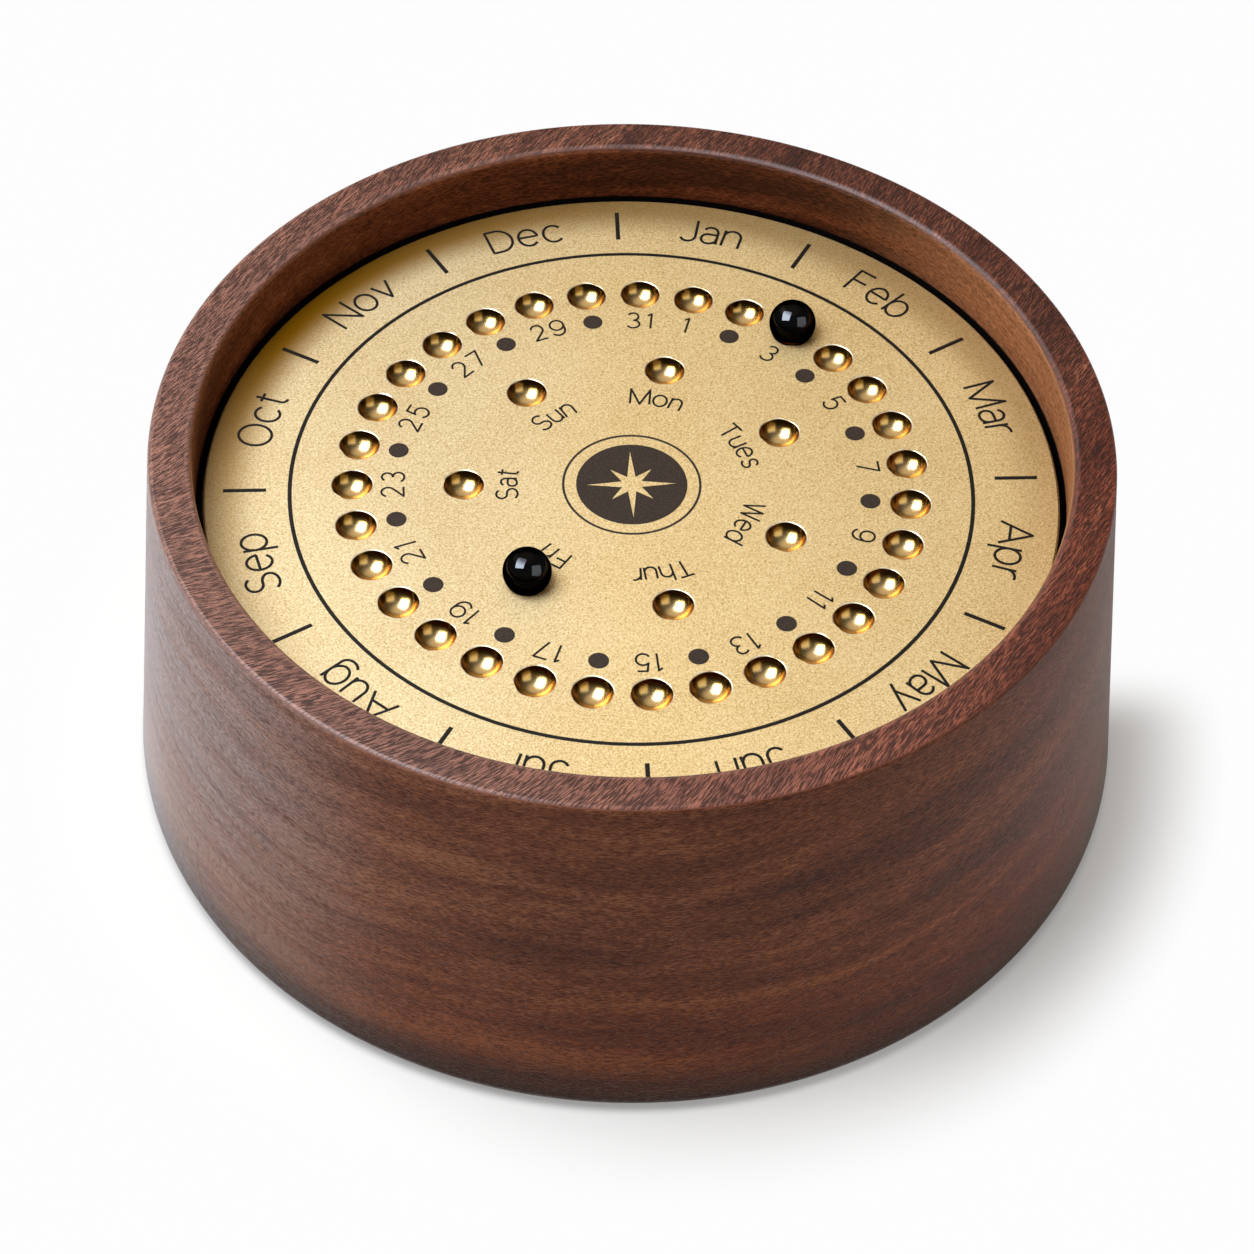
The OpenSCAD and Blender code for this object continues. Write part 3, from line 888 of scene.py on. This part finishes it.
def dial_plate_shape():
    shape = bmesh.new()
    profile = [(dial_r - edge_chamfer, face_z), (dial_r, face_z - edge_chamfer),
               (dial_r, underside_z), (0.0, underside_z)]
    rings = [add_ring(shape, r, z, plate_segments) for r, z in profile]
    for outer, inner in zip(rings, rings[1:]):
        add_band(shape, outer, inner)
    mouths = []
    for centre in dimples:
        bowl = [add_ring(shape, r, z, mouth_segments, centre[:2]) for r, z in dimple_section]
        for outer, inner in zip(bowl, bowl[1:]):
            add_band(shape, outer, inner, 1)
        mouths.append(bowl[0])
    loops = [rings[0]] + mouths
    points = [v.co.xy / mm for loop in loops for v in loop]
    corners = [v for loop in loops for v in loop]
    starts = [sum(len(loop) for loop in loops[:i]) for i in range(len(loops))]
    borders = [(start + j, start + (j + 1) % len(loop))
               for start, loop in zip(starts, loops) for j in range(len(loop))]
    flat, _, triangles, came_from, _, _ = delaunay_2d_cdt(points, borders, [], 0, 1e-6, True)
    for triangle in triangles:
        names = [came_from[i][0] for i in triangle]
        middle = sum((flat[i] for i in triangle), Vector((0, 0))) / 3
        if any((middle * mm - centre.xy).length < mouth_r for centre in dimples):
            continue
        shape.faces.new([corners[i] for i in names])
    bmesh.ops.recalc_face_normals(shape, faces=shape.faces)
    crease(shape)
    for edge in shape.edges:
        level = [abs(face.normal.z) > 0.99999 for face in edge.link_faces]
        if any(level) and not all(level):
            edge.smooth = False
    return shape


plate = new_piece("dial_face", dial_plate_shape(), blasted_brass)
plate.data.materials.append(polished_brass)
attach(plate, "dial")
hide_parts("dial_plate")
print("dial plate of", len(plate.data.polygons), "faces")

# %% [markdown]
# ## Dark enamel
# The ring, the strokes between the months, the dots for even dates, the star in the middle and
# all of the lettering are etched and filled with dark enamel. It is nearly black with a warm
# cast, and slightly grainy where the filler has dried. The disc in the middle and the dots are
# wider fields of it that dry to a browner tone, so they have a finish of their own.


# %% Enamel finishes
def enamel_look(dark, middle, light):
    def look(tree, place):
        grit = noise(place, 6.0, detail=2.0, roughness=0.6)
        return {
            "Base Color": grit.ramp((0.32, dark), (0.55, middle), (0.75, light)),
            "Roughness": grit.clamp(0.3, 0.7, 0.62, 0.48),
            "Normal": bump(grit, depth=0.02, strength=0.5),
        }
    return look


thin_fill = {"Specular IOR Level": 0.25}
dark_enamel = new_finish("dark_enamel", thin_fill, enamel_look(
    (0.006, 0.004, 0.003), (0.010, 0.007, 0.005), (0.026, 0.018, 0.012)))
brown_enamel = new_finish("brown_enamel", thin_fill, enamel_look(
    (0.026, 0.016, 0.011), (0.044, 0.028, 0.019), (0.085, 0.056, 0.038)))


def dress(names, material):
    """Gives CAD nodes that keep their shape a better material."""
    for name in names:
        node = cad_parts[name]
        node.data.materials.clear()
        node.data.materials.append(material)
        print(name, "is now", material.name)


dress(["month_ring_enamel", "month_divider_enamel"], dark_enamel)
dress(["even_date_enamel", "centre_rose_enamel"], brown_enamel)

# %% [markdown]
# ## Lettering
# The months, the odd dates and the weekdays are set in a light, plain face whose strokes all
# have one width, as an engraver's cutter leaves them. A font file can't be relied on, so each
# letter is a few pen paths: straight runs and bows, in units of the capitals' height. A path
# becomes a ribbon, the ribbons of a letter are joined into one flat shape, and that shape gets
# a thickness. Letters stand one by one on the circle, with their tops outward.


# %% The pen paths
def bow(x, y, rx, ry, start, end):
    """Points on an ellipse about (x, y), from one angle to another, in degrees."""
    steps = max(4, round(abs(end - start) / 11))
    turns = [math.radians(start + (end - start) * i / steps) for i in range(steps + 1)]
    return [(x + rx * math.cos(t), y + ry * math.sin(t)) for t in turns]


def oval(x, y, rx, ry):
    """A closed ring, as two bows that overlap."""
    return [bow(x, y, rx, ry, 88, 272), bow(x, y, rx, ry, -92, 92)]


x_top = 0.75
tall = 1.05
letters = {
    "A": (0.90, [[(0, 0), (0.45, 1), (0.90, 0)], [(0.14, 0.32), (0.76, 0.32)]]),
    "D": (0.76, [[(0, 0), (0, 1), (0.28, 1)] + bow(0.30, 0.5, 0.46, 0.5, 90, -90)
                 + [(0.28, 0), (0, 0)]]),
    "F": (0.56, [[(0, 0), (0, 1), (0.56, 1)], [(0, 0.52), (0.50, 0.52)]]),
    "J": (0.50, [[(0.50, 1), (0.50, 0.27)] + bow(0.25, 0.25, 0.25, 0.26, 0, -155)]),
    "M": (0.94, [[(0, 0), (0, 1), (0.47, 0), (0.94, 1), (0.94, 0)]]),
    "N": (0.76, [[(0, 0), (0, 1), (0.76, 0), (0.76, 1)]]),
    "O": (0.88, oval(0.44, 0.5, 0.44, 0.51)),
    "S": (0.66, [bow(0.34, 0.755, 0.28, 0.255, 28, 270), bow(0.33, 0.245, 0.33, 0.255, 92, -155)]),
    "T": (0.68, [[(0, 1), (0.68, 1)], [(0.34, 1), (0.34, 0)]]),
    "W": (1.04, [[(0, 1), (0.26, 0), (0.52, 1), (0.78, 0), (1.04, 1)]]),
    "a": (0.50, [[(0.50, 0), (0.50, 0.5)] + bow(0.265, 0.51, 0.235, 0.25, 0, 152),
                 [(0.50, 0.43)] + bow(0.20, 0.215, 0.20, 0.22, 90, 270)
                 + bow(0.24, 0.25, 0.26, 0.255, 270, 345)]),
    "b": (0.62, [[(0, 0), (0, tall)]] + oval(0.31, 0.375, 0.31, 0.385)),
    "c": (0.58, [bow(0.32, 0.375, 0.32, 0.385, 42, 318)]),
    "d": (0.62, [[(0.62, 0), (0.62, tall)]] + oval(0.31, 0.375, 0.31, 0.385)),
    "e": (0.62, [[(0.02, 0.41), (0.62, 0.41)], bow(0.31, 0.375, 0.31, 0.385, 3, 318)]),
    "g": (0.62, oval(0.31, 0.375, 0.31, 0.385)
          + [[(0.62, x_top), (0.62, -0.04)] + bow(0.32, -0.06, 0.30, 0.24, 0, -150)]),
    "h": (0.55, [[(0, 0), (0, tall)], bow(0.275, 0.465, 0.275, 0.295, 180, 0) + [(0.55, 0)]]),
    "i": (0.02, [[(0, 0), (0, x_top)], [(0, 0.95), (0, 1.04)]]),
    "l": (0.02, [[(0, 0), (0, tall)]]),
    "n": (0.55, [[(0, 0), (0, x_top)], bow(0.275, 0.465, 0.275, 0.295, 180, 0) + [(0.55, 0)]]),
    "o": (0.66, oval(0.33, 0.375, 0.33, 0.385)),
    "p": (0.64, [[(0, x_top), (0, -0.30)]] + oval(0.32, 0.375, 0.32, 0.385)),
    "r": (0.34, [[(0, 0), (0, x_top)], bow(0.30, 0.44, 0.30, 0.32, 180, 78)]),
    "s": (0.50, [bow(0.255, 0.568, 0.215, 0.192, 25, 270), bow(0.25, 0.184, 0.25, 0.192, 92, -152)]),
    "t": (0.36, [[(0.15, 0.96), (0.15, 0.17)] + bow(0.31, 0.17, 0.16, 0.175, 180, 280),
                 [(0, x_top), (0.36, x_top)]]),
    "u": (0.55, [[(0, x_top), (0, 0.285)] + bow(0.275, 0.285, 0.275, 0.295, 180, 360),
                 [(0.55, x_top), (0.55, 0)]]),
    "v": (0.58, [[(0, x_top), (0.29, 0), (0.58, x_top)]]),
    "y": (0.60, [[(0, x_top), (0.30, 0)], [(0.60, x_top), (0.19, -0.28)]]),
    "1": (0.20, [[(0.02, 0.86), (0.20, 1), (0.20, 0)]]),
    "2": (0.62, [bow(0.31, 0.70, 0.28, 0.31, 162, -38) + [(0.02, 0), (0.62, 0)]]),
    "3": (0.60, [bow(0.29, 0.76, 0.25, 0.25, 152, -88),
                 bow(0.29, 0.255, 0.30, 0.265, 92, -152)]),
    "5": (0.62, [[(0.57, 1), (0.12, 1), (0.07, 0.54)] + bow(0.30, 0.32, 0.31, 0.33, 134, -150)]),
    "7": (0.62, [[(0, 1), (0.62, 1), (0.23, 0)]]),
    "9": (0.64, oval(0.32, 0.68, 0.32, 0.33)
          + [[(0.64, 0.70)] + bow(0.29, 0.42, 0.35, 0.43, 12, -142)]),
}
print(len(letters), "letters and figures drawn")


# %% Ribbons along a path
sharp_turn = math.radians(24)


def ribbons(path, width):
    """The outlines that a pen of that width leaves along a path, with round corners."""
    outlines = []
    run = [Vector(path[0])]
    for here, after in zip(path[1:], path[2:] + [None]):
        run.append(Vector(here))
        if after is not None:
            turn = (run[-1] - run[-2]).angle(Vector(after) - run[-1], 0.0)
        if after is None or turn > sharp_turn:
            outlines.append(ribbon(run, width))
            if after is not None:
                outlines.append([tuple(p) for p in bow(*run[-1], width / 2, width / 2, 0, 330)])
            run = [Vector(here)]
    return outlines


def ribbon(run, width):
    """One smooth run of a path, as a closed outline with square ends."""
    left = []
    right = []
    for i, point in enumerate(run):
        ahead = (run[min(i + 1, len(run) - 1)] - run[max(i - 1, 0)]).normalized()
        side = Vector((-ahead.y, ahead.x)) * width / 2
        left.append(tuple(point + side))
        right.append(tuple(point - side))
    return right + left[::-1]


print("a path turns sharply above", round(math.degrees(sharp_turn)), "degrees")


# %% Letters and words
def flat_letter(letter, pen):
    """The joined outline of a letter as points and triangles, in units of its height."""
    points = []
    outlines = []
    for path in letters[letter][1]:
        for outline in ribbons(path, pen):
            outlines.append(list(range(len(points), len(points) + len(outline))))
            points += [Vector(p) for p in outline]
    flat, _, triangles, _, _, owners = delaunay_2d_cdt(points, [], outlines, 0, 1e-6, True)
    return flat, [t for t, owner in zip(triangles, owners) if owner]


def word_places(word, size, gap, baseline_r, angle):
    """Each letter of a word with its angle on the circle and its shift along it."""
    widths = [letters[letter][0] for letter in word]
    length = sum(widths) + gap * (len(word) - 1)
    middle_r = baseline_r + size / 2
    start = -length / 2
    for letter, width in zip(word, widths):
        centre = start + width / 2
        yield letter, angle + math.degrees(centre * size / middle_r), width / 2
        start += width + gap


print("a W has", len(flat_letter("W", 0.1)[1]), "triangles")


# %% Raise the letters
def add_slab(shape, spots, triangles, low, high):
    """A flat shape with a thickness: its top, its bottom and the walls round its borders."""
    top = [shape.verts.new((p.x, p.y, high)) for p in spots]
    bottom = [shape.verts.new((p.x, p.y, low)) for p in spots]
    sides = {}
    for triangle in triangles:
        shape.faces.new([top[i] for i in triangle])
        shape.faces.new([bottom[i] for i in reversed(triangle)])
        for a, b in zip(triangle, triangle[1:] + triangle[:1]):
            sides[(a, b)] = True
    for a, b in sides:
        if (b, a) not in sides:
            shape.faces.new([top[b], top[a], bottom[a], bottom[b]])
    loose = [v for v in shape.verts if not v.link_faces]
    bmesh.ops.delete(shape, geom=loose, context="VERTS")


def raise_letters(name, words, size, pen, gap, baseline_r):
    """A piece with every word of a list of (word, angle), from the enamel's bed to its top. Pen
    and gap are in units of the letters' size."""
    shape = bmesh.new()
    for word, angle in words:
        for letter, turn, half_width in word_places(word, size, gap, baseline_r, angle):
            flat, triangles = flat_letter(letter, pen)
            outward = clock_place(1.0, turn).xy
            onward = Vector((outward.y, -outward.x))
            spots = [outward * (baseline_r + p.y * size) + onward * ((p.x - half_width) * size)
                     for p in flat]
            add_slab(shape, spots, triangles, enamel_low.z, enamel_z)
    crease(shape)
    piece = new_piece(name, shape, dark_enamel)
    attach(piece, "dial")
    print(name, "has", len(words), "words and", len(piece.data.polygons), "faces")


print("letters stand from", round(enamel_low.z / mm, 2), "to", round(enamel_z / mm, 2), "mm")

# %% The words on the dial
months = ("Jan", "Feb", "Mar", "Apr", "May", "Jun", "Jul", "Aug", "Sep", "Oct", "Nov", "Dec")
weekdays = ("Mon", "Tues", "Wed", "Thur", "Fri", "Sat", "Sun")
month_words = [(word, 15 + 30 * i) for i, word in enumerate(months)]
date_words = [(str(n), date_angle(n)) for n in range(1, date_count + 1, 2)]
weekday_words = [(word, weekday_angle(i + 1)) for i, word in enumerate(weekdays)]
raise_letters("month_lettering", month_words,
              size=4.1 * mm, pen=0.088, gap=0.21, baseline_r=45.75 * mm)
raise_letters("date_lettering", date_words,
              size=2.72 * mm, pen=0.098, gap=0.34, baseline_r=28.25 * mm)
raise_letters("weekday_lettering", weekday_words,
              size=2.6 * mm, pen=0.104, gap=0.21, baseline_r=14.25 * mm)

# %% [markdown]
# ## The marker balls
# Two glossy black balls, ground round and polished like bearing balls, rest in the dimples. A
# plain sphere would do for their shape. They are turned here from a half circle with many steps,
# because the lamps' reflections show every flat on a mirror. The gloss is a very dark mirror
# whose edge tint is black. Its tint is a painted reflection, set by height: greyer near the top,
# where the lamps show, nearly black all round the sides, and gold only at the very bottom, so
# that the dial shows in it as a thin line.

# %% The balls' tones and steps
# painted reflection: the mirror's tint from the bottom of the ball to its top
painted_reflection_tones = (
    (0.20, (0.400, 0.300, 0.160)), (0.38, (0.004, 0.003, 0.003)),
    (0.68, (0.004, 0.004, 0.004)), (0.80, (0.080, 0.083, 0.087)),
    (0.92, (0.080, 0.083, 0.087)), (0.97, (0.015, 0.015, 0.016)))
ball_steps = 64
ball_segments = 128
print("balls of", ball_steps, "by", ball_segments, "facets")


# %% Balls
def ball_look(tree, place):
    haze = noise(place, 0.6, detail=2.0, roughness=0.5)
    # painted reflection: the mirror's tint changes with height on the ball
    height = upward_part(tree) * 0.5 + 0.5
    return {
        "Base Color": height.ramp(*painted_reflection_tones),
        "Roughness": haze.clamp(0.3, 0.7, 0.030, 0.050),
    }


black_gloss = new_finish("black_gloss", {
    "Metallic": 1.0, "Specular Tint": (0.0, 0.0, 0.0)}, ball_look)


def marker_ball(name, node, body):
    low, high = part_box(node)
    centre = (low + high) / 2
    radius = (high.z - low.z) / 2
    section = rounded(0.0, centre.z, radius, -90, 90, ball_steps)
    shape = turned(section, ball_segments, centre[:2], closed=False)
    piece = new_piece(name, shape, black_gloss)
    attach(piece, body)
    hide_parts(node)
    print(name, "of radius", round(radius / mm, 3), "mm")


marker_ball("date_marker_ball", "date_ball", "date_marker")
marker_ball("weekday_marker_ball", "weekday_ball", "weekday_marker")

# %% [markdown]
# ## Underneath
# The base pad is pressed cork: lumps of bark in several browns with dark seams between them. A
# Voronoi texture gives each lump its own tone, and the distance to its edge gives the seams. The
# pad is turned with a small softened edge, because a knife-cut disc of cork never stays sharp.


# %% Cork finish
cork_tones = ((0.1, (0.235, 0.125, 0.058)), (0.5, (0.370, 0.215, 0.108)),
              (0.9, (0.500, 0.320, 0.175)))
seam_tone = (0.085, 0.042, 0.020)


def cork_look(tree, place):
    warped = place + Wire(tree, "TexNoise", None, {"Vector": place, "Scale": 0.9}, "Color")
    cells = {"Vector": warped, "Scale": 0.75}
    lumps = Wire(tree, "TexVoronoi", None, cells, "Color")
    seams = Wire(tree, "TexVoronoi", {"feature": "DISTANCE_TO_EDGE"}, cells, "Distance")
    pits = noise(place, 2.2, detail=3.0, roughness=0.6).clamp(0.56, 0.7)
    tone = lumps.part(0).ramp(*cork_tones)
    tone = blend_colours(tree, seams.clamp(0.0, 0.10, 0.75, 0.0), tone, seam_tone)
    tone = blend_colours(tree, pits * 0.7, tone, seam_tone)
    relief = seams.clamp(0.0, 0.15) - pits * 0.6
    return {"Base Color": tone, "Normal": bump(relief, depth=0.15, strength=0.7)}


cork = new_finish("pressed_cork", {"Roughness": 0.9, "Specular IOR Level": 0.2}, cork_look)
print("cork in", len(cork_tones), "tones")

# %% Cork pad
cork_round = 0.35 * mm
cork_segments = 180
cork_section = [(0.0, pad_low.z)]
cork_section += rounded(pad_high.x - cork_round, pad_low.z + cork_round, cork_round, -90, 0)
cork_section += [(pad_high.x, pad_high.z), (0.0, pad_high.z)]
pad = new_piece("cork_pad", turned(cork_section, cork_segments, closed=False), cork)
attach(pad, "drum")
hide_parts("cork_base_pad")
print("cork pad of radius", round(pad_high.x / mm, 1), "mm")

# %% [markdown]
# ## The hidden pivot
# Under the dial are the felt ring that it glides on, and the pivot: a brass hub, an acetal bush,
# washers, a disc spring and a lock nut. They show only when the calendar is taken apart, and the
# CAD shapes are right as they are. Each gets its own finish. Turned parts keep the fine rings
# that the tool leaves, which come from the distance to the axis.


# %% Finishes of the pivot
rings_per_mm = 9.0
print("lathe rings", round(1 / rings_per_mm, 2), "mm apart")


def felt_look(tree, place):
    fuzz = noise(place, 3.0, detail=4.0, roughness=0.7)
    return {"Base Color": fuzz.ramp((0.3, (0.022, 0.020, 0.019)), (0.7, (0.075, 0.070, 0.066))),
            "Normal": bump(fuzz, depth=0.2, strength=0.8)}


def turned_look(dark, light, low_rough, high_rough):
    """Metal off the lathe: fine rings round the axis, and a slight change of tone."""
    def look(tree, place):
        way_out = Wire(tree, "CombineXYZ", None, {0: axis_distance(place) * rings_per_mm})
        rings = noise(way_out, 1.0, detail=2.0)
        return {"Base Color": rings.ramp((0.3, dark), (0.7, light)),
                "Roughness": rings.clamp(0.3, 0.7, low_rough, high_rough),
                "Normal": bump(rings, depth=0.01, strength=0.5)}
    return look


def moulded_look(dark, light):
    """Plastic: a faint cloudiness and a slightly pebbled skin."""
    def look(tree, place):
        cloud = noise(place, 0.7, detail=3.0)
        skin = noise(place, 5.0, detail=2.0)
        return {"Base Color": cloud.ramp((0.3, dark), (0.7, light)),
                "Roughness": skin.clamp(0.3, 0.7, 0.40, 0.55),
                "Normal": bump(skin, depth=0.01, strength=0.4)}
    return look


# %% Dress the pivot
metal = {"Metallic": 1.0}
felt = new_finish("grey_felt", {"Roughness": 0.95, "Sheen Weight": 0.3}, felt_look)
dress(["felt_glide_ring"], felt)
dress(["spindle_hub"], new_finish("turned_brass", metal, turned_look(
    (0.70, 0.48, 0.20), (0.86, 0.64, 0.31), 0.18, 0.30)))
dress(["hub_screws", "bush_screws"], new_finish("zinc_steel", metal, turned_look(
    (0.42, 0.43, 0.44), (0.62, 0.63, 0.64), 0.28, 0.42)))
dress(["retaining_washer", "lock_nut"], new_finish("stainless", metal, turned_look(
    (0.48, 0.48, 0.49), (0.66, 0.66, 0.67), 0.22, 0.36)))
dress(["disc_spring"], new_finish("spring_steel", metal, turned_look(
    (0.26, 0.27, 0.29), (0.40, 0.41, 0.43), 0.30, 0.45)))
dress(["pivot_bush"], new_finish("acetal", {}, moulded_look(
    (0.72, 0.70, 0.65), (0.80, 0.78, 0.73))))
dress(["upper_thrust_washer", "lower_thrust_washer"], new_finish(
    "slippery_washer", {}, moulded_look((0.78, 0.77, 0.74), (0.86, 0.85, 0.83))))
dress(["lock_nut_insert"], new_finish("blue_nylon", {}, moulded_look(
    (0.035, 0.110, 0.330), (0.060, 0.160, 0.420))))
